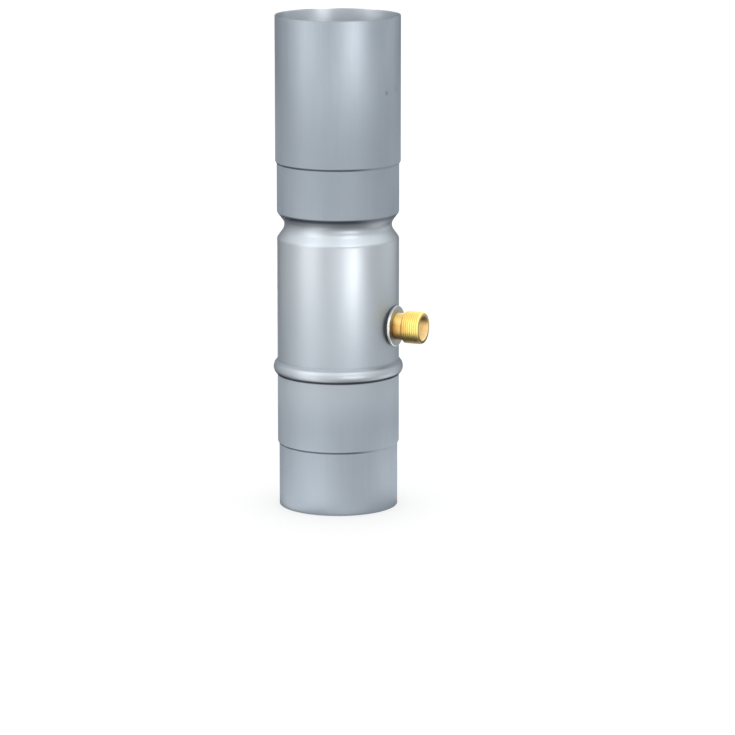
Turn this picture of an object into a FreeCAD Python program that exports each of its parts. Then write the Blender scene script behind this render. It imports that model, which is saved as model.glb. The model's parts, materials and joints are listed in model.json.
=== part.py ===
import FreeCAD, Part
import math
import os

import Sketcher

# Rainwater diverter for a round downpipe, in millimetres.
# The Z axis is the pipe's axis, upwards, and the origin is the centre of the spigot's lower end.
# The outlet points along X.

SIZES = (
    ("pipe_od", "100", "outside diameter of the barrel and of the downpipe it joins"),
    ("wall", "0.8", "sheet thickness of the body"),
    ("slip_gap", "0.45", "radial clearance to the downpipe, in the socket and round the spigot"),
    ("spigot_length", "51.5", "straight part of the spigot"),
    ("joggle_rise", "2", "height of each conical step"),
    ("joggle_bend", "0.8", "inside radius of the steps' bends"),
    ("foot_length", "62.5", "top of the lower step to the middle of the bead"),
    ("bead_reach", "3.3", "how far the bead stands out of the barrel"),
    ("bead_radius", "7", "outside radius of the bead's arc"),
    ("bead_blend", "2", "hollow radius between bead and barrel"),
    ("outlet_rise", "37", "middle of the bead to the outlet's axis"),
    ("neck_rise", "81", "outlet's axis to the middle of the neck groove"),
    ("neck_depth", "5.9", "depth of the neck groove"),
    ("neck_slope", "36", "angle of the groove's flanks to the pipe's axis, in degrees"),
    ("neck_root", "8", "hollow radius at the bottom of the groove"),
    ("lip_bend", "2.2", "inside radius of the bend above the groove"),
    ("shoulder_bend", "3.2", "inside radius of the bend below the groove"),
    ("throat_length", "50.5", "middle of the neck groove to the upper step"),
    ("socket_depth", "119", "straight part of the socket"),
    ("insert_wall", "0.8", "sheet thickness of the trough"),
    ("skirt_gap", "0.15", "clearance between the trough's skirt and the body"),
    ("skirt_tail", "14", "middle of the bead to the skirt's lower edge"),
    ("floor_drop", "20", "outlet's axis down to the trough's floor"),
    ("floor_bend", "2", "inside radius of the floor's bends"),
    ("overflow_rise", "37", "outlet's axis up to the standpipe's rim"),
    ("curl_radius", "1.4", "radius of the standpipe's curled rim"),
    ("inlet_gap", "4", "room for water between the nipple's inner end and the standpipe"),
    ("thread_od", "26.44", "outlet thread, G 3/4, over its crests"),
    ("thread_length", "15.5", "length of the outlet thread"),
    ("neck_od", "22", "plain neck behind the outlet thread"),
    ("neck_length", "7.6", "length of the plain neck"),
    ("shank_od", "20.96", "clamping thread, G 1/2, over its crests"),
    ("bore", "16", "bore of the nipple's shank"),
    ("mouth_bore", "19.8", "wider bore of the nipple's outer end"),
    ("mouth_depth", "12", "depth of the wider bore, down to its cone"),
    ("tip_chamfer", "0.9", "outside chamfers of the outlet thread"),
    ("mouth_chamfer", "0.4", "chamfer of the wider bore's edge"),
    ("shank_gap", "0.15", "radial clearance of everything that the shank passes through"),
    ("thread_tail", "1", "shank left over behind the nut"),
    ("collar_od", "33.4", "outside diameter of the collar"),
    ("collar_thickness", "2.5", "thickness of the collar"),
    ("collar_edge", "0.7", "edge rounding of the collar"),
    ("seal_crest", "0.4", "outer seal where it is thinnest, over the wall's crest"),
    ("seal_inset", "1", "how far the outer seal stays back from the collar's edge"),
    ("seal_gap", "0.05", "clearance between the seals' round faces and the wall"),
    ("seal_rim", "0.5", "inner seal where it is thinnest, at its sides"),
    ("seal_margin", "1.5", "how far the inner seal reaches past the nut's flats"),
    ("nut_flats", "27", "width of the nut across its flats"),
    ("nut_thickness", "5.5", "thickness of the nut"),
    ("nut_chamfer", "1", "axial depth of the chamfer on the nut's corners"),
)

doc = FreeCAD.newDocument("rainwater_diverter")
sheet = doc.addObject("Spreadsheet::Sheet", "Dims")
for row, (alias, size, note) in enumerate(SIZES, start=1):
    sheet.set(f"A{row}", alias)
    sheet.set(f"B{row}", size)
    sheet.set(f"C{row}", note)
    sheet.setAlias(f"B{row}", alias)
doc.recompute()

# Radii and heights that follow from the sizes, as expressions on the sheet.
BARREL_R = "(Dims.pipe_od / 2)"
INSIDE_R = f"({BARREL_R} - Dims.wall)"
SOCKET_R = f"({BARREL_R} + Dims.slip_gap + Dims.wall)"
SPIGOT_R = f"({INSIDE_R} - Dims.slip_gap)"
FOOT_Z = "(Dims.spigot_length + Dims.joggle_rise)"
BEAD_Z = f"({FOOT_Z} + Dims.foot_length)"
OUTLET_Z = f"({BEAD_Z} + Dims.outlet_rise)"
NECK_Z = f"({OUTLET_Z} + Dims.neck_rise)"
THROAT_Z = f"({NECK_Z} + Dims.throat_length)"
SEAT_Z = f"({THROAT_Z} + Dims.joggle_rise)"
TOP_Z = f"({SEAT_Z} + Dims.socket_depth)"

# The outlet's stations along X, from the pipe's axis outwards.
COLLAR_BACK = f"({BARREL_R} + Dims.seal_crest)"
COLLAR_FACE = f"({COLLAR_BACK} + Dims.collar_thickness)"
THREAD_BACK = f"({COLLAR_FACE} + Dims.neck_length)"
TIP = f"({THREAD_BACK} + Dims.thread_length)"
INNER_SEAL_R = "(Dims.nut_flats / 2 + Dims.seal_margin)"
NUT_FACE = f"(sqrt({INSIDE_R}^2 - {INNER_SEAL_R}^2) - Dims.seal_rim)"
NUT_BACK = f"({NUT_FACE} - Dims.nut_thickness)"
SHANK_END = f"({NUT_BACK} - Dims.thread_tail)"
SHANK_HOLE_R = "(Dims.shank_od / 2 + Dims.shank_gap)"


def number(expression):
    return float(sheet.evalExpression(expression))


def new_body(label):
    body = doc.addObject("PartDesign::Body", label)
    body.Label = label
    return body


def new_sketch(body, name, plane):
    sketch = body.newObject("Sketcher::SketchObject", name)
    origin_plane = next(item for item in body.Origin.OriginFeatures if item.Role == plane)
    sketch.AttachmentSupport = [(origin_plane, "")]
    sketch.MapMode = "FlatFace"
    return sketch


def drive(sketch, constraint, expression):
    index = sketch.addConstraint(constraint)
    sketch.setExpression(f"Constraints[{index}]", expression)


def pin_point(sketch, edge, place):
    for kind, expression, axis in zip(("DistanceX", "DistanceY"), place, (-2, -1)):
        if expression == "0":
            sketch.addConstraint(Sketcher.Constraint("PointOnObject", edge, 1, axis))
        else:
            drive(sketch, Sketcher.Constraint(kind, -1, 1, edge, 1, number(expression)), expression)


def outline(body, name, corners, bulges=None):
    """A closed outline on the XZ plane: straight from corner to corner, apart from outward bulges by radius."""
    sketch = new_sketch(body, name, "XZ_Plane")
    bulges = bulges or {}
    points = [FreeCAD.Vector(number(x), number(z), 0) for x, z in corners]
    for index, start in enumerate(points):
        end = points[(index + 1) % len(points)]
        if index in bulges:
            radius = number(bulges[index])
            half_angle = math.asin((end - start).Length / (2 * radius))
            middle = (start + end) / 2 - FreeCAD.Vector(radius * math.cos(half_angle), 0, 0)
            circle = Part.Circle(middle, FreeCAD.Vector(0, 0, 1), radius)
            sketch.addGeometry(Part.ArcOfCircle(circle, -half_angle, half_angle))
        else:
            sketch.addGeometry(Part.LineSegment(start, end))
    for index, place in enumerate(corners):
        sketch.addConstraint(Sketcher.Constraint("Coincident", index, 2, (index + 1) % len(corners), 1))
        pin_point(sketch, index, place)
    for index, expression in bulges.items():
        drive(sketch, Sketcher.Constraint("Radius", index, number(expression)), expression)
    return sketch


def turned(body, name, sketch, axis, kind="Revolution"):
    feature = body.newObject(f"PartDesign::{kind}", name)
    feature.Profile = sketch
    feature.ReferenceAxis = (sketch, [axis])
    feature.Angle = 360
    doc.recompute()
    return feature


def rings(feature, places, along):
    """Names of the feature's round edges about its own axis, found by their (radius, station)."""
    wanted = [(number(radius), number(station)) for radius, station in places]
    names = []
    for index, edge in enumerate(feature.Shape.Edges, start=1):
        if not isinstance(edge.Curve, Part.Circle):
            continue
        found = (edge.Curve.Radius, edge.Curve.Center.dot(along))
        if any(math.dist(found, place) < 0.001 for place in wanted):
            names.append(f"Edge{index}")
    return names


def dressed(body, name, kind, base, places, size, along):
    """A Fillet or Chamfer of one size on round edges."""
    feature = body.newObject(f"PartDesign::{kind}", name)
    feature.Base = (base, rings(base, places, along))
    feature.setExpression("Radius" if kind == "Fillet" else "Size", size)
    doc.recompute()
    return feature


def shelled(body, name, base, thickness, open_heights):
    """An even wall inside the base's surface, open at its flat ends at the given heights."""
    heights = [number(height) for height in open_heights]
    ends = []
    for index, face in enumerate(base.Shape.Faces, start=1):
        flat = isinstance(face.Surface, Part.Plane)
        if flat and any(abs(face.CenterOfMass.z - height) < 0.001 for height in heights):
            ends.append(f"Face{index}")
    feature = body.newObject("PartDesign::Thickness", name)
    feature.Base = (base, ends)
    feature.Reversed = True
    feature.setExpression("Value", thickness)
    doc.recompute()
    return feature


def circles(sketch, radii, centre=("0", "0")):
    """Circles about one centre, each driven by its radius."""
    middle = FreeCAD.Vector(number(centre[0]), number(centre[1]), 0)
    for expression in radii:
        edge = sketch.addGeometry(Part.Circle(middle, FreeCAD.Vector(0, 0, 1), number(expression)))
        drive(sketch, Sketcher.Constraint("Radius", edge, number(expression)), expression)
        for kind, place, axis in zip(("DistanceX", "DistanceY"), centre, (-2, -1)):
            if place == "0":
                sketch.addConstraint(Sketcher.Constraint("PointOnObject", edge, 3, axis))
            else:
                drive(sketch, Sketcher.Constraint(kind, -1, 1, edge, 3, number(place)), place)


def bead_chord(radius):
    """Half the height of a bead's arc where it meets its straight wall."""
    return f"sqrt(2 * {radius} * Dims.bead_reach - Dims.bead_reach^2)"


UP = FreeCAD.Vector(0, 0, 1)
OUT = FreeCAD.Vector(1, 0, 0)


def make_body():
    """The tube: its outer form is turned, its bends are rounded and the wall is shelled inwards."""
    chord = bead_chord("Dims.bead_radius")
    bead_low = f"({BEAD_Z} - {chord})"
    bead_high = f"({BEAD_Z} + {chord})"
    sharp_depth = "(Dims.neck_depth + Dims.neck_root * (1 / cos(Dims.neck_slope * 1 deg) - 1))"
    flank_rise = f"({sharp_depth} / tan(Dims.neck_slope * 1 deg))"
    neck_r = f"({BARREL_R} - {sharp_depth})"
    neck_low = f"({NECK_Z} - {flank_rise})"
    neck_high = f"({NECK_Z} + {flank_rise})"

    body = new_body("diverter_body")
    profile = outline(body, "tube_outline", (
        ("0", "0"),
        (SPIGOT_R, "0"),
        (SPIGOT_R, "Dims.spigot_length"),
        (BARREL_R, FOOT_Z),
        (BARREL_R, bead_low),
        (BARREL_R, bead_high),
        (BARREL_R, neck_low),
        (neck_r, NECK_Z),
        (BARREL_R, neck_high),
        (BARREL_R, THROAT_Z),
        (SOCKET_R, SEAT_Z),
        (SOCKET_R, TOP_Z),
        ("0", TOP_Z),
    ), bulges={4: "Dims.bead_radius"})
    tube = turned(body, "tube", profile, "V_Axis")
    bends = (
        ("neck_root_bend", [(neck_r, NECK_Z)], "Dims.neck_root"),
        ("lip_bend", [(BARREL_R, neck_high)], "Dims.lip_bend + Dims.wall"),
        ("shoulder_bend", [(BARREL_R, neck_low)], "Dims.shoulder_bend + Dims.wall"),
        ("bead_blends", [(BARREL_R, bead_low), (BARREL_R, bead_high)], "Dims.bead_blend"),
        ("step_crests", [(BARREL_R, FOOT_Z), (SOCKET_R, SEAT_Z)], "Dims.joggle_bend + Dims.wall"),
        ("step_hollows", [(SPIGOT_R, "Dims.spigot_length"), (BARREL_R, THROAT_Z)], "Dims.joggle_bend"),
    )
    for name, places, radius in bends:
        tube = dressed(body, name, "Fillet", tube, places, radius, UP)
    shelled(body, "tube_wall", tube, "Dims.wall", ("0", TOP_Z))

    hole = new_sketch(body, "outlet_hole_outline", "YZ_Plane")
    circles(hole, [SHANK_HOLE_R], centre=("0", OUTLET_Z))
    pocket = body.newObject("PartDesign::Pocket", "outlet_hole")
    pocket.Profile = hole
    pocket.Reversed = True
    pocket.setExpression("Length", f"{BARREL_R} + Dims.bead_reach")
    return body


def make_insert():
    """The ring trough: skirt, floor and standpipe in one spun wall, its bead following the body's from inside."""
    skirt_r = f"({INSIDE_R} - Dims.skirt_gap)"
    bead_radius = "(Dims.bead_radius - Dims.wall - Dims.skirt_gap)"
    chord = bead_chord(bead_radius)
    bead_low = f"({BEAD_Z} - {chord})"
    bead_high = f"({BEAD_Z} + {chord})"
    skirt_z = f"({BEAD_Z} - Dims.skirt_tail)"
    floor_z = f"({OUTLET_Z} - Dims.floor_drop)"
    rim_z = f"({OUTLET_Z} + Dims.overflow_rise)"
    standpipe_r = f"({SHANK_END} - Dims.inlet_gap)"

    body = new_body("collector_insert")
    profile = outline(body, "trough_outline", (
        ("0", skirt_z),
        (skirt_r, skirt_z),
        (skirt_r, bead_low),
        (skirt_r, bead_high),
        (skirt_r, floor_z),
        (standpipe_r, floor_z),
        (standpipe_r, rim_z),
        ("0", rim_z),
    ), bulges={2: bead_radius})
    trough = turned(body, "trough", profile, "V_Axis")
    bends = (
        ("skirt_blends", [(skirt_r, bead_low), (skirt_r, bead_high)],
         "Dims.bead_blend + Dims.wall + Dims.skirt_gap"),
        ("floor_crest", [(skirt_r, floor_z)], "Dims.floor_bend + Dims.insert_wall"),
        ("floor_hollow", [(standpipe_r, floor_z)], "Dims.floor_bend"),
    )
    for name, places, radius in bends:
        trough = dressed(body, name, "Fillet", trough, places, radius, UP)
    shelled(body, "trough_wall", trough, "Dims.insert_wall", (skirt_z, rim_z))

    curl = new_sketch(body, "curl_outline", "XZ_Plane")
    circles(curl, ["Dims.curl_radius"],
            centre=(f"({standpipe_r} - Dims.insert_wall / 2 + Dims.curl_radius)", rim_z))
    turned(body, "rim_curl", curl, "V_Axis")
    return body


def on_outlet(body):
    """Pieces on the outlet's axis are made about their own X axis and lifted to the outlet."""
    body.setExpression("Placement.Base.z", OUTLET_Z)
    return body


def make_nipple():
    """Turned brass nipple: clamping shank, shoulder, plain neck and outlet thread, with a stepped bore."""
    shank_r = "(Dims.shank_od / 2)"
    neck_r = "(Dims.neck_od / 2)"
    thread_r = "(Dims.thread_od / 2)"
    bore_r = "(Dims.bore / 2)"
    mouth_r = "(Dims.mouth_bore / 2)"
    cone_top = f"({TIP} - Dims.mouth_depth)"

    body = new_body("outlet_nipple")
    profile = outline(body, "nipple_outline", (
        (SHANK_END, bore_r),
        (SHANK_END, shank_r),
        (COLLAR_FACE, shank_r),
        (COLLAR_FACE, neck_r),
        (THREAD_BACK, neck_r),
        (THREAD_BACK, thread_r),
        (TIP, thread_r),
        (TIP, mouth_r),
        (cone_top, mouth_r),
        (f"({cone_top} - {mouth_r} + {bore_r})", bore_r),
    ))
    nipple = turned(body, "nipple", profile, "H_Axis")
    nipple = dressed(body, "thread_chamfers", "Chamfer", nipple,
                     [(thread_r, TIP), (thread_r, THREAD_BACK)], "Dims.tip_chamfer", OUT)
    dressed(body, "mouth_bevel", "Chamfer", nipple, [(mouth_r, TIP)], "Dims.mouth_chamfer", OUT)
    return on_outlet(body)


def make_collar():
    """Round collar ring with rounded edges."""
    collar_r = "(Dims.collar_od / 2)"
    body = new_body("outlet_collar")
    profile = outline(body, "collar_outline", (
        (COLLAR_BACK, SHANK_HOLE_R),
        (COLLAR_BACK, collar_r),
        (COLLAR_FACE, collar_r),
        (COLLAR_FACE, SHANK_HOLE_R),
    ))
    ring = turned(body, "collar", profile, "H_Axis")
    dressed(body, "collar_edges", "Fillet", ring,
            [(collar_r, COLLAR_BACK), (collar_r, COLLAR_FACE)], "Dims.collar_edge", OUT)
    return on_outlet(body)


def make_saddle(label, radius, inner, outer, cut_radii):
    """A seal ring between two stations on the outlet's axis, cut to the pipe's round wall."""
    body = new_body(label)
    profile = outline(body, "ring_outline", (
        (inner, SHANK_HOLE_R),
        (inner, radius),
        (outer, radius),
        (outer, SHANK_HOLE_R),
    ))
    turned(body, "ring", profile, "H_Axis")
    round_wall = new_sketch(body, "wall_outline", "XY_Plane")
    circles(round_wall, cut_radii)
    cut = body.newObject("PartDesign::Pocket", "wall_cut")
    cut.Profile = round_wall
    cut.Midplane = True
    cut.setExpression("Length", f"3 * {radius}")
    return on_outlet(body)


def make_outer_seal():
    """Flat against the collar and hollow against the barrel."""
    radius = "(Dims.collar_od / 2 - Dims.seal_inset)"
    wall_r = f"({BARREL_R} + Dims.seal_gap)"
    sides = f"(sqrt({BARREL_R}^2 - {radius}^2))"
    return make_saddle("outer_saddle_seal", radius, sides, COLLAR_BACK, [wall_r])


def make_inner_seal():
    """Round against the inside of the barrel and flat against the nut."""
    wall_r = f"({INSIDE_R} - Dims.seal_gap)"
    return make_saddle("inner_saddle_seal", INNER_SEAL_R, NUT_FACE, INSIDE_R, [wall_r, "Dims.pipe_od"])


def make_nut():
    """Thin hexagon nut, flats to the sides, chamfered towards the pipe's axis."""
    flat_r = "(Dims.nut_flats / 2)"
    corner_r = f"({flat_r} / cos(30 deg))"
    body = new_body("lock_nut")
    blank = outline(body, "blank_outline", (
        (NUT_BACK, SHANK_HOLE_R),
        (NUT_BACK, flat_r),
        (f"({NUT_BACK} + Dims.nut_chamfer)", corner_r),
        (NUT_FACE, corner_r),
        (NUT_FACE, SHANK_HOLE_R),
    ))
    turned(body, "blank", blank, "H_Axis")

    hexagon = new_sketch(body, "flats_outline", "YZ_Plane")
    half_side = f"({flat_r} * tan(30 deg))"
    corners = (
        ("0", corner_r), (f"-{flat_r}", half_side), (f"-{flat_r}", f"-{half_side}"),
        ("0", f"-{corner_r}"), (flat_r, f"-{half_side}"), (flat_r, half_side),
    )
    points = [FreeCAD.Vector(number(y), number(z), 0) for y, z in corners]
    for index, start in enumerate(points):
        hexagon.addGeometry(Part.LineSegment(start, points[(index + 1) % 6]))
    for index, place in enumerate(corners):
        hexagon.addConstraint(Sketcher.Constraint("Coincident", index, 2, (index + 1) % 6, 1))
        pin_point(hexagon, index, place)
    circles(hexagon, [f"(2 * {corner_r})"])
    flats = body.newObject("PartDesign::Pocket", "flats")
    flats.Profile = hexagon
    flats.Reversed = True
    flats.setExpression("Length", NUT_FACE)
    return on_outlet(body)


parts = [
    make_body(),
    make_insert(),
    make_nipple(),
    make_collar(),
    make_outer_seal(),
    make_inner_seal(),
    make_nut(),
]
doc.recompute()

for item in doc.Objects:
    if "Invalid" in item.State or "Error" in item.State:
        raise RuntimeError(f"{item.Label}: {item.State}")
for part in parts:
    if part.Shape.isNull() or not part.Shape.isValid() or len(part.Shape.Solids) != 1:
        raise RuntimeError(f"{part.Label}: its shape is not one valid solid")

os.makedirs("parts", exist_ok=True)
for part in parts:
    part.Shape.exportStep(os.path.join("parts", f"{part.Label}.step"))
    print(f"{part.Label}: {part.Shape.Volume / 1000:.2f} cm3")
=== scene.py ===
import json
import math

import bpy
from mathutils import Matrix, Vector


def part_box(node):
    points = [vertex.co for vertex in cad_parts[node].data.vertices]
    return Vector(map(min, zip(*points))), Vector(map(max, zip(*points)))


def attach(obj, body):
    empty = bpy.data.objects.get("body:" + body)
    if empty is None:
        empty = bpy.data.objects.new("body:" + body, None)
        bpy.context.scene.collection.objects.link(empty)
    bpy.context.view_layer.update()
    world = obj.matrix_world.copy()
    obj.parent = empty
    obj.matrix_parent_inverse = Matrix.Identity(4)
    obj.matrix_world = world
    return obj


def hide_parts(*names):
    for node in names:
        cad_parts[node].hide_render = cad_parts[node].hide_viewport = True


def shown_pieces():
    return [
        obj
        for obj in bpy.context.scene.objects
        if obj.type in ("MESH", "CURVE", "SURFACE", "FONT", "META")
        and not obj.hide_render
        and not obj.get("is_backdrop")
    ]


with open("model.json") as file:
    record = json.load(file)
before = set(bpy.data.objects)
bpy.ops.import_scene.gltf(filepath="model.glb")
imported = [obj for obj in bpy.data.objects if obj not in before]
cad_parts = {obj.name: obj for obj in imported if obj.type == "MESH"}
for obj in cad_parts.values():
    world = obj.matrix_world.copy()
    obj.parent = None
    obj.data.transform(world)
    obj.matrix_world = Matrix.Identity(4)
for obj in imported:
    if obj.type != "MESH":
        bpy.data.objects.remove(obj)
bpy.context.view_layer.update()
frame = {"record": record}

mounts = {mount["name"]: mount for mount in frame["record"]["mounts"]}
outletHeight = mounts["outlet_thread"]["pos_m"][2]
up = (0, 0, 1)
outward = (1, 0, 0)
outletCentre = (0, 0, outletHeight)


def mountRadius(name):
    return mounts[name]["dims"]["r_mm"] / 1000  # the record gives millimetres


# Selection and modifiers

def makeActive(piece):
    bpy.ops.object.select_all(action="DESELECT")
    piece.select_set(True)
    bpy.context.view_layer.objects.active = piece


def applyModifier(piece, kind, **settings):
    makeActive(piece)
    modifier = piece.modifiers.new(kind.title(), kind)
    for name, value in settings.items():
        setattr(modifier, name, value)
    bpy.ops.object.modifier_apply(modifier=modifier.name)


def cutWith(piece, tool, operation="DIFFERENCE"):
    applyModifier(piece, "BOOLEAN", object=tool, operation=operation, solver="EXACT")
    bpy.data.objects.remove(tool)


# Outlines: corners are (across, along, bend radius), and a straight run gets a point near each end,
# which keeps its shading flat beside a bend

def roundedLine(corners, arcStep=math.radians(6), holdGap=0.0006, heldRun=6, shortestRun=1e-6):
    line = []
    for index, (across, along, bend) in enumerate(corners):
        corner = Vector((across, along))
        if not bend:
            line.append(corner)
            continue
        before = (Vector(corners[index - 1][:2]) - corner).normalized()
        after = (Vector(corners[index + 1][:2]) - corner).normalized()
        halfAngle = before.angle(after) / 2
        centre = corner + (before + after).normalized() * bend / math.sin(halfAngle)
        spoke = corner + before * bend / math.tan(halfAngle) - centre
        turn = math.copysign(math.pi - 2 * halfAngle, -before.cross(after))
        count = math.ceil(abs(turn) / arcStep)
        line += [centre + Matrix.Rotation(turn * step / count, 2) @ spoke for step in range(count + 1)]
    held = line[:1]
    for start, end in zip(line, line[1:]):
        run = end - start
        if run.length > heldRun * holdGap:
            held += [start + run.normalized() * holdGap, end - run.normalized() * holdGap]
        if run.length > shortestRun:
            held.append(end)
    return held


def drawLine(name, line):
    bpy.ops.object.select_all(action="DESELECT")
    bpy.ops.mesh.primitive_plane_add(size=0.01)
    piece = bpy.context.object
    piece.name = piece.data.name = name
    bpy.ops.object.mode_set(mode="EDIT")
    bpy.ops.mesh.select_all(action="SELECT")
    bpy.ops.mesh.merge(type="CENTER")
    bpy.ops.transform.translate(value=(line[0].x, 0, line[0].y))
    for start, end in zip(line, line[1:]):
        step = end - start
        bpy.ops.mesh.extrude_region_move(TRANSFORM_OT_translate={"value": (step.x, 0, step.y)})
    return piece


def closeMesh(mergeGap=0.000002):
    bpy.ops.mesh.select_all(action="SELECT")
    bpy.ops.mesh.remove_doubles(threshold=mergeGap)
    bpy.ops.mesh.normals_make_consistent(inside=False)
    bpy.ops.object.mode_set(mode="OBJECT")


def turnPipe(name, line, sides):
    piece = drawLine(name, line)
    bpy.ops.mesh.select_all(action="SELECT")
    bpy.ops.mesh.spin(steps=sides, angle=2 * math.pi, center=(0, 0, 0), axis=up)
    closeMesh()
    return piece


def turnOnOutlet(name, corners, sides):
    closed = list(corners) + [corners[0]]
    line = roundedLine(closed, holdGap=0.0003)
    piece = drawLine(name, [Vector((point.x, point.y + outletHeight)) for point in line])
    bpy.ops.mesh.select_all(action="SELECT")
    bpy.ops.mesh.spin(steps=sides, angle=2 * math.pi, center=outletCentre, axis=outward)
    closeMesh()
    return piece


def finishPiece(piece, node, finish, sharpAngle=32):
    makeActive(piece)
    bpy.ops.object.transform_apply(location=True, rotation=True, scale=True)
    bpy.ops.object.shade_smooth_by_angle(angle=math.radians(sharpAngle))
    piece.data.materials.clear()
    piece.data.materials.append(finish)
    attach(piece, "root")
    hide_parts(node)
    print(f"{piece.name}: {len(piece.data.polygons)} faces")


# Shader maths

class Wire:
    def __init__(self, paint, socket):
        self.paint = paint
        self.socket = socket

    def combine(self, operation, first, second):
        return self.paint.add("ShaderNodeMath", {"operation": operation}, {0: first, 1: second})

    def __add__(self, other):
        return self.combine("ADD", self, other)

    def __radd__(self, other):
        return self.combine("ADD", other, self)

    def __sub__(self, other):
        return self.combine("SUBTRACT", self, other)

    def __rsub__(self, other):
        return self.combine("SUBTRACT", other, self)

    def __mul__(self, other):
        return self.combine("MULTIPLY", self, other)

    def __rmul__(self, other):
        return self.combine("MULTIPLY", other, self)

    def __neg__(self):
        return self.combine("SUBTRACT", 0, self)


class Paint:
    def __init__(self, name, world=None):
        self.material = world or bpy.data.materials.new(name)
        self.material.use_nodes = True
        self.nodes = self.material.node_tree.nodes
        self.links = self.material.node_tree.links
        self.shader = self.nodes["Background" if world else "Principled BSDF"]

    def feed(self, socket, value):
        if isinstance(value, Wire):
            self.links.new(value.socket, socket)
        else:
            socket.default_value = value

    def add(self, kind, settings=None, inputs=None, output=0):
        node = self.nodes.new(kind)
        for name, value in (settings or {}).items():
            setattr(node, name, value)
        for socket, value in (inputs or {}).items():
            self.feed(node.inputs[socket], value)
        return Wire(self, node.outputs[output])

    def coat(self, **inputs):
        for name, value in inputs.items():
            self.feed(self.shader.inputs[name.replace("_", " ")], value)
        return self.material

    def place(self, output="Object"):
        return self.add("ShaderNodeTexCoord", output=output)

    def part(self, vector, axis):
        return self.add("ShaderNodeSeparateXYZ", inputs={0: vector}, output=axis)

    def stretch(self, vector, scale):
        return self.add("ShaderNodeMapping", inputs={"Vector": vector, "Scale": scale})

    def vector(self, operation, *vectors):
        output = "Vector" if operation == "SUBTRACT" else "Value"
        inputs = dict(enumerate(vectors))
        return self.add("ShaderNodeVectorMath", {"operation": operation}, inputs, output)

    def noise(self, vector, scale, detail=3):
        inputs = {"Vector": vector, "Scale": scale, "Detail": detail}
        return self.add("ShaderNodeTexNoise", inputs=inputs)

    def rise(self, value, low, high):
        return self.add("ShaderNodeMapRange", {"interpolation_type": "SMOOTHSTEP"},
                        {"Value": value, "From Min": low, "From Max": high})

    def blend(self, factor, first, second):
        return self.add("ShaderNodeMix", {"data_type": "RGBA"}, {0: factor, 6: first, 7: second}, 2)

    def grain(self, height, depth):
        return self.add("ShaderNodeBump", inputs={"Height": height, "Distance": depth})


# Zinc sheet

zincLook = {
    "tone": (0.232, 0.265, 0.300, 1),
    "pale": (0.290, 0.324, 0.359, 1),
    # bright: painted highlight on the barrel and bead, and painted light on the foot under the bead
    "bright": (0.360, 0.390, 0.420, 1),
    # inside: painted light, a lighter copy of the zinc that lifts the shade on the pipe's inner faces
    "inside": (0.56, 0.60, 0.64, 1),
    "edge": (0.20, 0.20, 0.20, 1),
    "insideTurn": (0.0, 0.01),  # how far a face looks towards the pipe's axis
    "insideDiffuse": 0.18,
    "dullRoughness": 0.68,
    "shineRoughness": 0.42,
    "insideRoughness": 0.34,
    "wear": 0.10,
    "socketShine": (0.30, 0.395),  # heights between which it grows
    "socketShare": 0.65,
    "barrelShine": (0.125, 0.215),
    "barrelShare": 0.45,  # of the shine, already there at the barrel's lower end
    "barrelBottom": (0.1085, 0.1125),
    "barrelTop": (0.238, 0.246),
    # share of the painted highlight on the barrel
    "barrelPaintedHighlight": 0.8,
    "beadTop": (0.1188, 0.1215),
    "beadShine": 0.8,
    # painted light: the foot's colour is lifted towards the bead, against the shade under it
    "footRise": (0.068, 0.104),  # the foot gets paler towards the bead
    "footShare": 0.40,
    "streakScale": 700,
    "streakStretch": (1, 1, 0.02),
    "streakDetail": 2,
    "streakShare": 0.35,  # of the mottle, and the rest is clouds
    "cloudScale": 26,
    "cloudStretch": (1, 1, 0.35),
    "cloudDetail": 4,
    "mottleRange": (0.35, 0.85),
    "grainDepth": 0.00002,
}
# Painted shade: a dark tone laid where shade falls, on down-facing steps, under the bead, at the bead's
# upper corner and under the neck's lip
zincPaintedShade = {
    "tone": (0.036, 0.042, 0.052, 1),
    "stepTurn": (0.28, 0.58),  # how far a face looks down
    "stepShare": 0.90,
    "beadUnderside": (0.100, 0.104),
    "beadShade": (0.05, 0.50),
    "beadShadeShare": 0.50,
    "beadLine": (0.42, 0.62),
    "beadCorner": (0.1188, 0.1206, 0.1224, 0.1240),
    "beadCornerShare": 0.16,
    "neckBottom": (0.222, 0.227),
    "neckTop": (0.2442, 0.2454),
    "neckLine": (0.2400, 0.2430),
    "neckShade": (0.2310, 0.2440),
    "neckShadeShare": 0.70,
    "shadeFadeSide": (0.030, 0.044),  # X between which the painted crease shade fades
    "shadeFading": 0.75,
    "lipTurn": (0.46, 0.59),
    "lipShadeFading": 0.50,
    "lipEnd": (0.024, 0.040),  # minus X between which the lip's painted shade fades
    "lipEndShadeFading": 0.55,
}
socketMarks = {
    "tone": (0.10, 0.11, 0.125, 1),
    "raggedScale": 900,
    "raggedDetail": 2,
    "raggedReach": 0.0030,  # how far noise shifts a mark's edge
    "spots": (
        # angle, height, (full within, gone beyond), strength
        (math.radians(-16), 0.346, (0.0010, 0.0028), 0.5),
        (math.radians(1), 0.3475, (0.0010, 0.0040), 0.2),
    ),
}


def markSocket(paint, place, sheet):
    radius = mountRadius("downpipe_socket")
    ragged = paint.noise(place, socketMarks["raggedScale"], socketMarks["raggedDetail"]) - 0.5
    ragged = ragged * socketMarks["raggedReach"]
    for angle, height, size, strength in socketMarks["spots"]:
        centre = (radius * math.cos(angle), radius * math.sin(angle), height)
        away = paint.vector("DISTANCE", place, centre) + ragged
        sheet = paint.blend((1 - paint.rise(away, *size)) * strength, sheet, socketMarks["tone"])
    return sheet


# Painted shade for the creases: darker where a face looks down, under the bead, at the bead's upper
# corner and under the neck's lip, fading on the outlet's side
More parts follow.
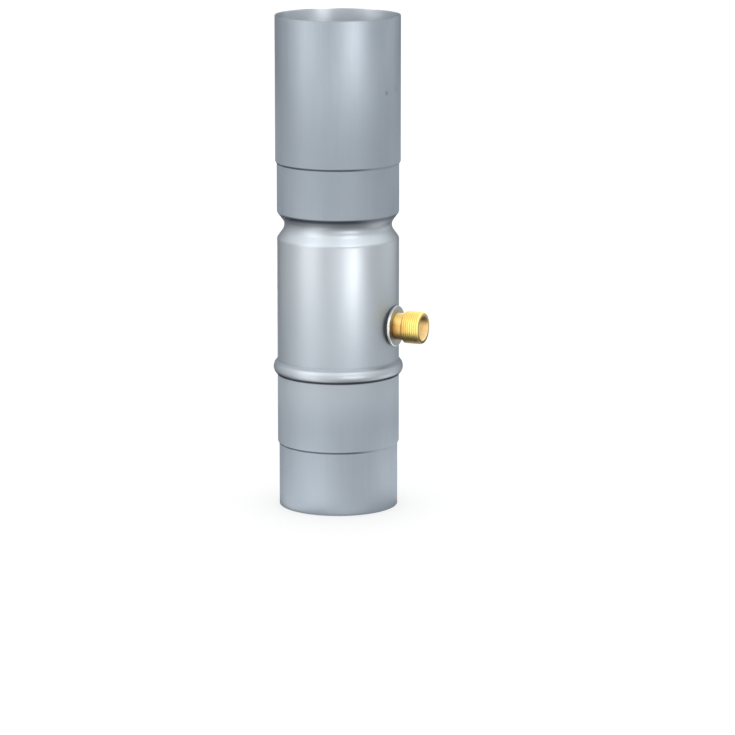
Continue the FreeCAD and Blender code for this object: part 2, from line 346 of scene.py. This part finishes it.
def paintCreaseShade(paint, place, height, down):
    paintedShade = zincPaintedShade
    across = paint.part(place, "X")
    neck = paint.rise(height, *paintedShade["neckBottom"]) * (1 - paint.rise(height, *paintedShade["neckTop"]))
    overBead = paint.rise(height, *zincLook["beadTop"])
    underBead = paint.rise(height, *paintedShade["beadUnderside"]) * (1 - overBead)
    beadShade = paint.rise(down, *paintedShade["beadShade"]) * paintedShade["beadShadeShare"]
    beadShade = beadShade + paint.rise(down, *paintedShade["beadLine"]) * (1 - paintedShade["beadShadeShare"])
    turned = paint.rise(down, *paintedShade["stepTurn"]) * (1 - neck) + paint.rise(down, *paintedShade["lipTurn"]) * neck
    line = turned * paintedShade["stepShare"] * (1 - underBead) + beadShade * underBead
    line = line * (1 - neck * (1 - paint.rise(height, *paintedShade["neckLine"])))
    neckShade = neck * paint.rise(height, *paintedShade["neckShade"]) * paintedShade["neckShadeShare"]
    shadeFaded = paint.rise(across, *paintedShade["shadeFadeSide"]) * paintedShade["shadeFading"]
    shadeFaded = shadeFaded * (1 - underBead) * (1 - neck * (1 - paintedShade["lipShadeFading"]))
    lipEnd = neck * paint.rise(-across, *paintedShade["lipEnd"]) * paintedShade["lipEndShadeFading"]
    creaseShade = (line + neckShade * (1 - line)) * (1 - lipEnd) * (1 - shadeFaded)
    low, full, fading, high = paintedShade["beadCorner"]
    corner = paint.rise(height, low, full) * (1 - paint.rise(height, fading, high))
    return creaseShade + corner * paintedShade["beadCornerShare"]


def zincFinish():
    look = zincLook
    paint = Paint("zinc_sheet")
    place = paint.place()
    normal = paint.place("Normal")
    height = paint.part(place, "Z")
    outwards = paint.vector("DOT_PRODUCT", normal, paint.stretch(place, (1, 1, 0)))
    inside = paint.rise(-outwards, *look["insideTurn"])
    drawn = paint.stretch(place, look["streakStretch"])
    streaks = paint.noise(drawn, look["streakScale"], look["streakDetail"])
    drifted = paint.stretch(place, look["cloudStretch"])
    clouds = paint.noise(drifted, look["cloudScale"], look["cloudDetail"])

    aboveFoot = paint.rise(height, *look["barrelBottom"])
    barrel = aboveFoot * (1 - paint.rise(height, *look["barrelTop"]))
    bead = barrel * (1 - paint.rise(height, *look["beadTop"]))
    growth = 1 - look["barrelShare"]
    barrel = barrel * (look["barrelShare"] + growth * paint.rise(height, *look["barrelShine"]))
    barrel = barrel + bead * (growth * look["beadShine"])
    shine = barrel + paint.rise(height, *look["socketShine"]) * look["socketShare"]
    wear = (streaks + clouds - 1) * look["wear"]
    roughness = look["dullRoughness"] - shine * (look["dullRoughness"] - look["shineRoughness"]) + wear
    roughness = roughness + inside * (look["insideRoughness"] - roughness)

    mottle = streaks * look["streakShare"] + clouds * (1 - look["streakShare"])
    sheet = paint.blend(paint.rise(mottle, *look["mottleRange"]), look["tone"], look["pale"])
    # painted highlight on the barrel and bead, and painted light on the foot under the bead
    footPaintedLight = paint.rise(height, *look["footRise"]) * (1 - aboveFoot) * look["footShare"]
    sheet = paint.blend(barrel * look["barrelPaintedHighlight"] + footPaintedLight, sheet, look["bright"])
    # painted light: the inner faces get the lighter inside tone
    sheet = paint.blend(inside, sheet, look["inside"])
    sheet = markSocket(paint, place, sheet)
    # painted shade: the crease shade darkens the zinc's colour
    paintedShade = paintCreaseShade(paint, place, height, -paint.part(normal, "Z"))
    return paint.coat(Base_Color=paint.blend(paintedShade, sheet, zincPaintedShade["tone"]),
                      Metallic=1 - inside * look["insideDiffuse"],
                      Roughness=roughness, Specular_Tint=look["edge"],
                      Normal=paint.grain(streaks, look["grainDepth"]))


# Brass

brassLook = {
    "bright": (0.84, 0.69, 0.27, 1),
    "warm": (0.50, 0.285, 0.088, 1),
    # painted highlight: a lighter tone over the top of the warm neck
    "crest": (0.92, 0.66, 0.245, 1),
    "shade": (0.05, 0.036, 0.018, 1),
    "bore": (0.92, 0.69, 0.32, 1),
    "cutFace": (0.34, 0.25, 0.08, 1),
    "insideTurn": (0.0, 0.002),
    "boreDiffuse": 0.85,
    "warmEnd": (0.054, 0.071),  # X between which the warm neck turns bright
    "crestRise": (0.002, 0.010),  # heights over the outlet's axis
    "boreTop": (-0.001, 0.0065),
    "boreTopShare": 0.95,
    "underside": (0.0005, 0.0085),  # depths under the outlet's axis
    "undersideShare": 0.89,
    "cutDepth": (0.0003, 0.0001),  # behind the tip
    "cloudScale": 90,
    "cloudShare": 0.3,
    "roughness": 0.50,
    "ringWear": 0.12,
    "cloudWear": 0.08,
    "ringScale": 2600,
    "ringStretch": (1, 0.01, 0.01),
    "ringDetail": 2,
    "grainDepth": 0.00001,
}


def brassFinish():
    look = brassLook
    paint = Paint("outlet_brass")
    place = paint.place()
    along = paint.part(place, "X")
    fromAxis = paint.vector("SUBTRACT", place, outletCentre)
    lift = paint.part(fromAxis, "Z")
    outwards = paint.vector("DOT_PRODUCT", paint.place("Normal"), paint.stretch(fromAxis, (0, 1, 1)))
    inside = paint.rise(-outwards, *look["insideTurn"])
    rings = paint.noise(paint.stretch(place, look["ringStretch"]), look["ringScale"], look["ringDetail"])
    clouds = paint.noise(place, look["cloudScale"])
    # painted highlight: the warm neck turns lighter towards its top
    warm = paint.blend(paint.rise(lift, *look["crestRise"]), look["warm"], look["crest"])
    warmth = 1 - paint.rise(along, *look["warmEnd"]) + (clouds - 0.5) * look["cloudShare"]
    metal = paint.blend(warmth, look["bright"], warm)
    metal = paint.blend(inside, metal, look["bore"])
    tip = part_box("outlet_nipple")[1].x
    cut = paint.rise(along, *(tip - depth for depth in look["cutDepth"]))
    metal = paint.blend(cut, metal, look["cutFace"])
    underside = paint.rise(-lift, *look["underside"]) * (1 - inside) * look["undersideShare"]
    boreTop = paint.rise(lift, *look["boreTop"]) * inside * look["boreTopShare"]
    wear = (rings - 0.5) * look["ringWear"] + (clouds - 0.5) * look["cloudWear"]
    return paint.coat(Base_Color=paint.blend(underside + boreTop, metal, look["shade"]),
                      Metallic=1 - inside * look["boreDiffuse"], Roughness=wear + look["roughness"],
                      Normal=paint.grain(rings, look["grainDepth"]))


# Collar

collarLook = {
    "tone": (0.52, 0.54, 0.53, 1),
    "dull": (0.34, 0.36, 0.34, 1),
    # face: painted shade, a darker tone on the faces that look along the outlet
    "face": (0.17, 0.18, 0.17, 1),
    "faceTurn": (0.5, 0.9),  # how far a face looks along the outlet
    "faceShare": 0.8,
    "faceRings": 0.3,
    "dullRange": (0.35, 0.75),
    "cloudScale": 120,
    "roughness": 0.34,
    "ringWear": 0.14,
    "ringScale": 3000,
    "ringDetail": 2,
    "ringShare": 0.4,  # of the dull patches, and the rest is clouds
    "grainDepth": 0.00001,
}


def collarFinish():
    look = collarLook
    paint = Paint("collar_metal")
    place = paint.place()
    centred = paint.vector("SUBTRACT", place, outletCentre)
    fromAxis = paint.vector("LENGTH", paint.stretch(centred, (0, 1, 1)))
    rings = paint.add("ShaderNodeTexNoise", {"noise_dimensions": "1D"},
                      {"W": fromAxis, "Scale": look["ringScale"], "Detail": look["ringDetail"]})
    clouds = paint.noise(place, look["cloudScale"])
    patches = clouds * (1 - look["ringShare"]) + rings * look["ringShare"]
    tone = paint.blend(paint.rise(patches, *look["dullRange"]), look["tone"], look["dull"])
    turned = paint.rise(paint.part(paint.place("Normal"), "X"), *look["faceTurn"])
    # painted shade on the collar's outward faces
    tone = paint.blend(turned * (look["faceShare"] + rings * look["faceRings"]), tone, look["face"])
    return paint.coat(Base_Color=tone, Metallic=1.0,
                      Roughness=look["roughness"] + (rings - 0.5) * look["ringWear"],
                      Normal=paint.grain(rings, look["grainDepth"]))


# Rubber

rubberLook = {
    "black": (0.006, 0.007, 0.010, 1),
    "bloom": (0.018, 0.020, 0.026, 1),
    "bloomRange": (0.4, 0.75),
    "cloudScale": 160,
    "roughness": 0.62,
    "wear": 0.2,
    "grainScale": 1800,
    "grainDepth": 0.00004,
}


def rubberFinish():
    look = rubberLook
    paint = Paint("seal_rubber")
    place = paint.place()
    grain = paint.noise(place, look["grainScale"])
    clouds = paint.noise(place, look["cloudScale"])
    tone = paint.blend(paint.rise(clouds, *look["bloomRange"]), look["black"], look["bloom"])
    return paint.coat(Base_Color=tone, Roughness=look["roughness"] + (clouds - 0.5) * look["wear"],
                      Normal=paint.grain(grain, look["grainDepth"]))


zinc = zincFinish()
brass = brassFinish()
collarMetal = collarFinish()
rubber = rubberFinish()
print("finishes mixed")

# Tube: spigot, foot, bead, barrel, neck groove, throat and socket in one wall

bodyLow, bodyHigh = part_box("diverter_body")
tube = {
    "wall": 0.0008,
    "stepRise": 0.002,
    "stepCrest": 0.0016,
    "stepHollow": 0.0008,
    "spigotTop": 0.0515,
    "beadHeight": 0.116,
    "beadRadius": 0.007,
    "beadBlend": 0.002,
    "neckHeight": 0.234,
    "neckDepth": 0.0059,
    "neckSlope": math.radians(36),
    "neckRoot": 0.008,
    "lipBend": 0.003,
    "shoulderBend": 0.004,
    "throatTop": 0.2845,
    "outletPatch": 0.013,  # the wall is divided this far above and below the outlet's axis
    "holeRadius": 0.01063,
    "holeSides": 96,
    "rimRound": 0.0002,
    "sides": 192,
}
barrelRadius = mountRadius("bracket_seat")
socketRadius = mountRadius("downpipe_socket") + tube["wall"]
spigotRadius = mountRadius("spigot")
beadReach = bodyHigh.x - barrelRadius


def beadCorners(radius, height, bead, blend):
    turn = math.acos(1 - beadReach / (bead + blend))
    crown = radius + beadReach + bead * (1 / math.cos(turn) - 1)
    reach = (bead + blend) * math.sin(turn) - blend * math.tan(turn / 2)
    return [(radius, height - reach, blend), (crown, height, bead), (radius, height + reach, blend)]


def roundOutRims(piece, width, segments=2, cornerAngle=math.radians(60)):
    applyModifier(piece, "BEVEL", width=width, segments=segments,
                  limit_method="ANGLE", angle_limit=cornerAngle)


def makeTube():
    sharpDepth = tube["neckDepth"] + tube["neckRoot"] * (1 / math.cos(tube["neckSlope"]) - 1)
    flankRise = sharpDepth / math.tan(tube["neckSlope"])
    corners = [
        (spigotRadius, bodyLow.z, 0),
        (spigotRadius, tube["spigotTop"], tube["stepHollow"]),
        (barrelRadius, tube["spigotTop"] + tube["stepRise"], tube["stepCrest"]),
        *beadCorners(barrelRadius, tube["beadHeight"], tube["beadRadius"], tube["beadBlend"]),
        (barrelRadius, outletHeight - tube["outletPatch"], 0),
        (barrelRadius, outletHeight + tube["outletPatch"], 0),
        (barrelRadius, tube["neckHeight"] - flankRise, tube["shoulderBend"]),
        (barrelRadius - sharpDepth, tube["neckHeight"], tube["neckRoot"]),
        (barrelRadius, tube["neckHeight"] + flankRise, tube["lipBend"]),
        (barrelRadius, tube["throatTop"], tube["stepHollow"]),
        (socketRadius, tube["throatTop"] + tube["stepRise"], tube["stepCrest"]),
        (socketRadius, bodyHigh.z, 0),
    ]
    piece = turnPipe("diverter_tube", roundedLine(corners), tube["sides"])
    applyModifier(piece, "SOLIDIFY", thickness=tube["wall"], offset=-1, use_even_offset=True)
    roundOutRims(piece, tube["rimRound"])
    bpy.ops.object.select_all(action="DESELECT")
    bpy.ops.mesh.primitive_cylinder_add(vertices=tube["holeSides"], radius=tube["holeRadius"],
                                        depth=barrelRadius, location=(barrelRadius, 0, outletHeight),
                                        rotation=(0, math.pi / 2, 0))
    cutWith(piece, bpy.context.object)
    finishPiece(piece, "diverter_body", zinc)


makeTube()

# Ring trough inside the barrel: skirt, floor and standpipe with a rolled rim

troughLow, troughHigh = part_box("collector_insert")
trough = {
    "wall": 0.0008,
    "skirtRadius": 0.04905,
    "beadRadius": 0.00605,
    "beadBlend": 0.00295,
    "floor": 0.133,
    "floorCrest": 0.0028,
    "floorHollow": 0.002,
    "standpipeRadius": 0.03586,
    "rollRadius": 0.0008,
    "rollTurn": math.radians(285),
    "rollSteps": 24,
    "rimRound": 0.0002,
    "sides": 160,
}


def makeTrough():
    rollHeight = troughHigh.z - trough["rollRadius"] - trough["wall"]
    rollCentre = Vector((trough["standpipeRadius"] + trough["rollRadius"], rollHeight))
    corners = [
        (trough["skirtRadius"], troughLow.z, 0),
        *beadCorners(trough["skirtRadius"], tube["beadHeight"],
                     trough["beadRadius"], trough["beadBlend"]),
        (trough["skirtRadius"], trough["floor"], trough["floorCrest"]),
        (trough["standpipeRadius"], trough["floor"], trough["floorHollow"]),
        (trough["standpipeRadius"], rollHeight, 0),
    ]
    line = roundedLine(corners)
    for step in range(1, trough["rollSteps"] + 1):
        angle = math.pi - trough["rollTurn"] * step / trough["rollSteps"]
        line.append(rollCentre + Vector((math.cos(angle), math.sin(angle))) * trough["rollRadius"])
    piece = turnPipe("ring_trough", line, trough["sides"])
    applyModifier(piece, "SOLIDIFY", thickness=trough["wall"], offset=-1, use_even_offset=True)
    roundOutRims(piece, trough["rimRound"])
    finishPiece(piece, "collector_insert", zinc)


makeTrough()

# Brass nipple: clamping shank, plain neck and a cut thread

nippleLow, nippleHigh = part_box("outlet_nipple")
collarLow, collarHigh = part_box("outlet_collar")
nipple = {
    "shankRadius": 0.01048,
    "neckRadius": 0.011,
    "neckLength": 0.0076,
    "boreRadius": 0.008,
    "mouthRadius": 0.0099,
    "mouthDepth": 0.012,
    "mouthBevel": 0.0004,
    "threadBevel": 0.0009,
    "neckHollow": 0.0006,
    "edgeRound": 0.0003,
    "pitch": 0.001814,
    "threadDepth": 0.001162,
    "rootFlat": 0.0003,
    "flankAngle": math.radians(27.5),
    "toolOverhang": 0.0002,
    "sides": 96,
    "threadSteps": 80,
}


def makeThreadTool(crestRadius, start, end):
    rootRadius = crestRadius - nipple["threadDepth"]
    topRadius = crestRadius + nipple["toolOverhang"]
    halfRoot = nipple["rootFlat"] / 2
    halfTop = halfRoot + (topRadius - rootRadius) * math.tan(nipple["flankAngle"])
    tooth = [Vector((start - halfTop, topRadius)), Vector((start - halfRoot, rootRadius)),
             Vector((start + halfRoot, rootRadius)), Vector((start + halfTop, topRadius))]
    tool = drawLine("thread_tool", tooth)
    bpy.ops.mesh.select_all(action="SELECT")
    bpy.ops.mesh.edge_face_add()
    bpy.ops.mesh.delete(type="ONLY_FACE")
    bpy.ops.object.mode_set(mode="OBJECT")
    turns = math.ceil((end - start) / nipple["pitch"])
    applyModifier(tool, "SCREW", axis="X", screw_offset=nipple["pitch"], iterations=turns,
                  steps=nipple["threadSteps"], render_steps=nipple["threadSteps"])
    bpy.ops.object.mode_set(mode="EDIT")
    bpy.ops.mesh.select_all(action="SELECT")
    bpy.ops.mesh.fill_holes(sides=len(tooth))
    closeMesh()
    tool.location = outletCentre
    return tool


def makeNipple():
    threadRadius = mountRadius("outlet_thread")
    threadBack = collarHigh.x + nipple["neckLength"]
    tip = nippleHigh.x
    bevel = nipple["threadBevel"]
    bore = nipple["boreRadius"]
    mouth = nipple["mouthRadius"]
    mouthBevel = nipple["mouthBevel"]
    coneTop = tip - nipple["mouthDepth"]
    corners = [
        (nippleLow.x, bore, 0),
        (nippleLow.x, nipple["shankRadius"], 0),
        (collarHigh.x, nipple["shankRadius"], 0),
        (collarHigh.x, nipple["neckRadius"], nipple["edgeRound"]),
        (threadBack, nipple["neckRadius"], nipple["neckHollow"]),
        (threadBack, threadRadius - bevel, 0),
        (threadBack + bevel, threadRadius, 0),
        (tip - bevel, threadRadius, 0),
        (tip, threadRadius - bevel, nipple["edgeRound"]),
        (tip, mouth + mouthBevel, 0),
        (tip - mouthBevel, mouth, 0),
        (coneTop, mouth, 0),
        (coneTop - (mouth - bore), bore, 0),
    ]
    piece = turnOnOutlet("outlet_nipple_turned", corners, nipple["sides"])
    halfPitch = nipple["pitch"] / 2
    cutWith(piece, makeThreadTool(threadRadius, threadBack - halfPitch, tip + halfPitch))
    finishPiece(piece, "outlet_nipple", brass)


makeNipple()

# Collar ring under the nipple's shoulder

collar = {"holeRadius": 0.01063, "edgeRound": 0.0007, "sides": 128}


def makeCollar():
    rim = collarHigh.y
    corners = [
        (collarLow.x, collar["holeRadius"], 0),
        (collarLow.x, rim, collar["edgeRound"]),
        (collarHigh.x, rim, collar["edgeRound"]),
        (collarHigh.x, collar["holeRadius"], 0),
    ]
    piece = turnOnOutlet("collar_ring", corners, collar["sides"])
    finishPiece(piece, "outlet_collar", collarMetal)


makeCollar()

# Saddle seals: flat on one side, cut to the round wall on the other

seals = {
    "holeRadius": 0.01063,
    "edgeRound": 0.0002,
    "wallGap": 0.00005,
    "wallSides": 192,
    "wallReach": 4,  # times the seal's radius
    "sides": 96,
}


def makeSeal(name, node, wallRadius, operation):
    low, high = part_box(node)
    corners = [
        (low.x, seals["holeRadius"], 0),
        (low.x, high.y, 0),
        (high.x, high.y, seals["edgeRound"]),
        (high.x, seals["holeRadius"], 0),
    ]
    piece = turnOnOutlet(name, corners, seals["sides"])
    bpy.ops.object.select_all(action="DESELECT")
    bpy.ops.mesh.primitive_cylinder_add(vertices=seals["wallSides"], radius=wallRadius,
                                        depth=seals["wallReach"] * high.y, location=outletCentre)
    cutWith(piece, bpy.context.object, operation)
    finishPiece(piece, node, rubber)


makeSeal("outer_seal", "outer_saddle_seal", barrelRadius + seals["wallGap"], "DIFFERENCE")
makeSeal("inner_seal", "inner_saddle_seal", barrelRadius - tube["wall"] - seals["wallGap"], "INTERSECT")

# Lock nut inside the barrel

nut = {"holeRadius": 0.01063, "chamfer": 0.001, "flats": 6, "sides": 96}


def makeNut():
    low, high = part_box("lock_nut")
    flat = high.y
    corner = flat / math.cos(math.pi / nut["flats"])
    corners = [
        (low.x, nut["holeRadius"], 0),
        (low.x, flat, 0),
        (low.x + nut["chamfer"], corner, 0),
        (high.x, corner, 0),
        (high.x, nut["holeRadius"], 0),
    ]
    piece = turnOnOutlet("lock_nut_hex", corners, nut["sides"])
    bpy.ops.object.select_all(action="DESELECT")
    bpy.ops.mesh.primitive_cylinder_add(vertices=nut["flats"], radius=corner, depth=2 * (high.x - low.x),
                                        location=((low.x + high.x) / 2, 0, outletHeight),
                                        rotation=(0, math.pi / 2, 0))
    cutWith(piece, bpy.context.object, "INTERSECT")
    finishPiece(piece, "lock_nut", brass)


makeNut()
print("pieces modelled")

# Floor, light and camera

studio = {
    "floorSize": 30,
    "floorTone": (0.22, 0.22, 0.22, 1),
    "floorRoughness": 0.9,
    "floorGlow": 0.58,
    "glowTone": (1, 1, 1, 1),
    "skyLow": 1.20,
    "skyHigh": 2.2,
    "skyRise": (0.25, 0.75),  # sines of the elevations between which it brightens
}


def makeFloor():
    bpy.ops.object.select_all(action="DESELECT")
    bpy.ops.mesh.primitive_plane_add(size=studio["floorSize"])
    floor = bpy.context.object
    floor.name = "studio_floor"
    paint = Paint("studio_floor")
    floor.data.materials.append(paint.coat(
        Base_Color=studio["floorTone"], Roughness=studio["floorRoughness"],
        Emission_Color=studio["glowTone"], Emission_Strength=studio["floorGlow"]))
    floor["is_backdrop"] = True


def makeSky():
    world = bpy.data.worlds.new("studio_sky")
    world.use_nodes = True
    sky = Paint("studio_sky", world)
    lift = sky.part(sky.place("Generated"), "Z")
    brightening = sky.rise(lift, *studio["skyRise"]) * (studio["skyHigh"] - studio["skyLow"])
    sky.coat(Color=studio["glowTone"], Strength=studio["skyLow"] + brightening)
    bpy.context.scene.world = world
    bpy.context.scene.view_settings.view_transform = "Standard"


lamps = {
    # name: (azimuth, distance, lower edge, upper edge, width, tilt upwards, grid angle, radiance),
    # with angles in degrees
    "barrel_strip": (54, 0.60, 0.025, 0.145, 0.38, 9, 27, 15),
    "barrel_wash": (38, 0.60, 0.025, 0.145, 0.76, 9, 75, 3.2),
    "socket_strip": (53, 0.60, 0.24, 0.33, 0.34, 9, 25, 25),
    "rim_strip": (52, 0.60, 0.43, 0.56, 0.22, -8, 20, 23.5),
    "rim_panel": (-42, 0.60, 0.43, 0.56, 0.40, -8, 40, 5),
    "neck_strip": (52, 0.60, 0.58, 0.95, 0.20, -43, 40, 8),
    "neck_panel": (-34, 0.60, 0.58, 0.95, 0.24, -43, 40, 4),
    "left_panel": (-29, 0.45, 0.03, 0.47, 0.32, 0, 180, 1.45),
    "barrel_back_strip": (207, 0.60, 0.005, 0.13, 0.38, 10, 27, 19),
    "socket_back_strip": (207, 0.60, 0.24, 0.33, 0.34, 9, 25, 23),
}
cards = {
    # laid on the floor, name: (azimuth, nearest, farthest, width, radiance)
    "left_card": (-28, 0.05, 0.50, 0.15, 1.75),
    "right_card": (140, 0.05, 0.32, 0.22, 2.5),
    "far_right_card": (140, 1.40, 2.60, 1.60, 2.4),
    "front_card": (32, 0.05, 0.09, 0.28, 1.0),
}
cardHeight = 0.001
lampTint = (1, 0.965, 0.935)


def makeLamp(name, width, tall, radiance, location, aim, lit, grid=math.pi):
    lamp = bpy.data.lights.new(name, "AREA")
    lamp.shape = "RECTANGLE"
    lamp.size = width
    lamp.size_y = tall
    lamp.spread = grid
    gridLoss = 1 - grid / 2 / math.tan(grid / 2)  # a narrow grid would brighten the middle
    lamp.energy = radiance * math.pi * width * tall * gridLoss
    lamp.color = lampTint
    stand = bpy.data.objects.new(name, lamp)
    stand.location = location
    stand.rotation_euler = aim
    stand.visible_camera = False
    stand.light_linking.receiver_collection = lit
    bpy.context.scene.collection.objects.link(stand)


def makeLamps():
    lit = bpy.data.collections.new("lit_pieces")  # the floor has its own even light
    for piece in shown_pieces():
        lit.objects.link(piece)
    for name, (azimuth, distance, low, high, width, tilt, grid, radiance) in lamps.items():
        turn = math.radians(azimuth)
        place = Vector((math.sin(turn) * distance, -math.cos(turn) * distance, (low + high) / 2))
        makeLamp(name, width, high - low, radiance, place, (math.radians(90 + tilt), 0, turn), lit,
                 math.radians(grid))
    for name, (azimuth, near, far, width, radiance) in cards.items():
        turn = math.radians(azimuth)
        middle = (near + far) / 2
        place = Vector((math.sin(turn) * middle, -math.cos(turn) * middle, cardHeight))
        makeLamp(name, width, far - near, radiance, place, (math.pi, 0, turn), lit)


shot = {
    "azimuth": math.radians(24),
    "distance": 3.0,
    "height": 0.738,
    "pitch": math.radians(11.75),
    "turn": math.radians(0.46),  # to the right, away from the pipe's axis
    "lens": 182.0,
    "sensor": 36,
}


def makeCamera():
    outwards = Vector((math.sin(shot["azimuth"]), -math.cos(shot["azimuth"]), 0))
    right = Vector((math.cos(shot["azimuth"]), math.sin(shot["azimuth"]), 0))
    level = right * math.sin(shot["turn"]) - outwards * math.cos(shot["turn"])
    aim = level * math.cos(shot["pitch"]) - Vector(up) * math.sin(shot["pitch"])
    data = bpy.data.cameras.new("photo_camera")
    data.lens = shot["lens"]
    data.sensor_width = shot["sensor"]
    camera = bpy.data.objects.new("photo_camera", data)
    camera.location = outwards * shot["distance"] + Vector((0, 0, shot["height"]))
    camera.rotation_euler = aim.to_track_quat("-Z", "Y").to_euler()
    bpy.context.scene.collection.objects.link(camera)
    bpy.context.scene.camera = camera


makeFloor()
makeSky()
makeLamps()
makeCamera()
print("studio set")
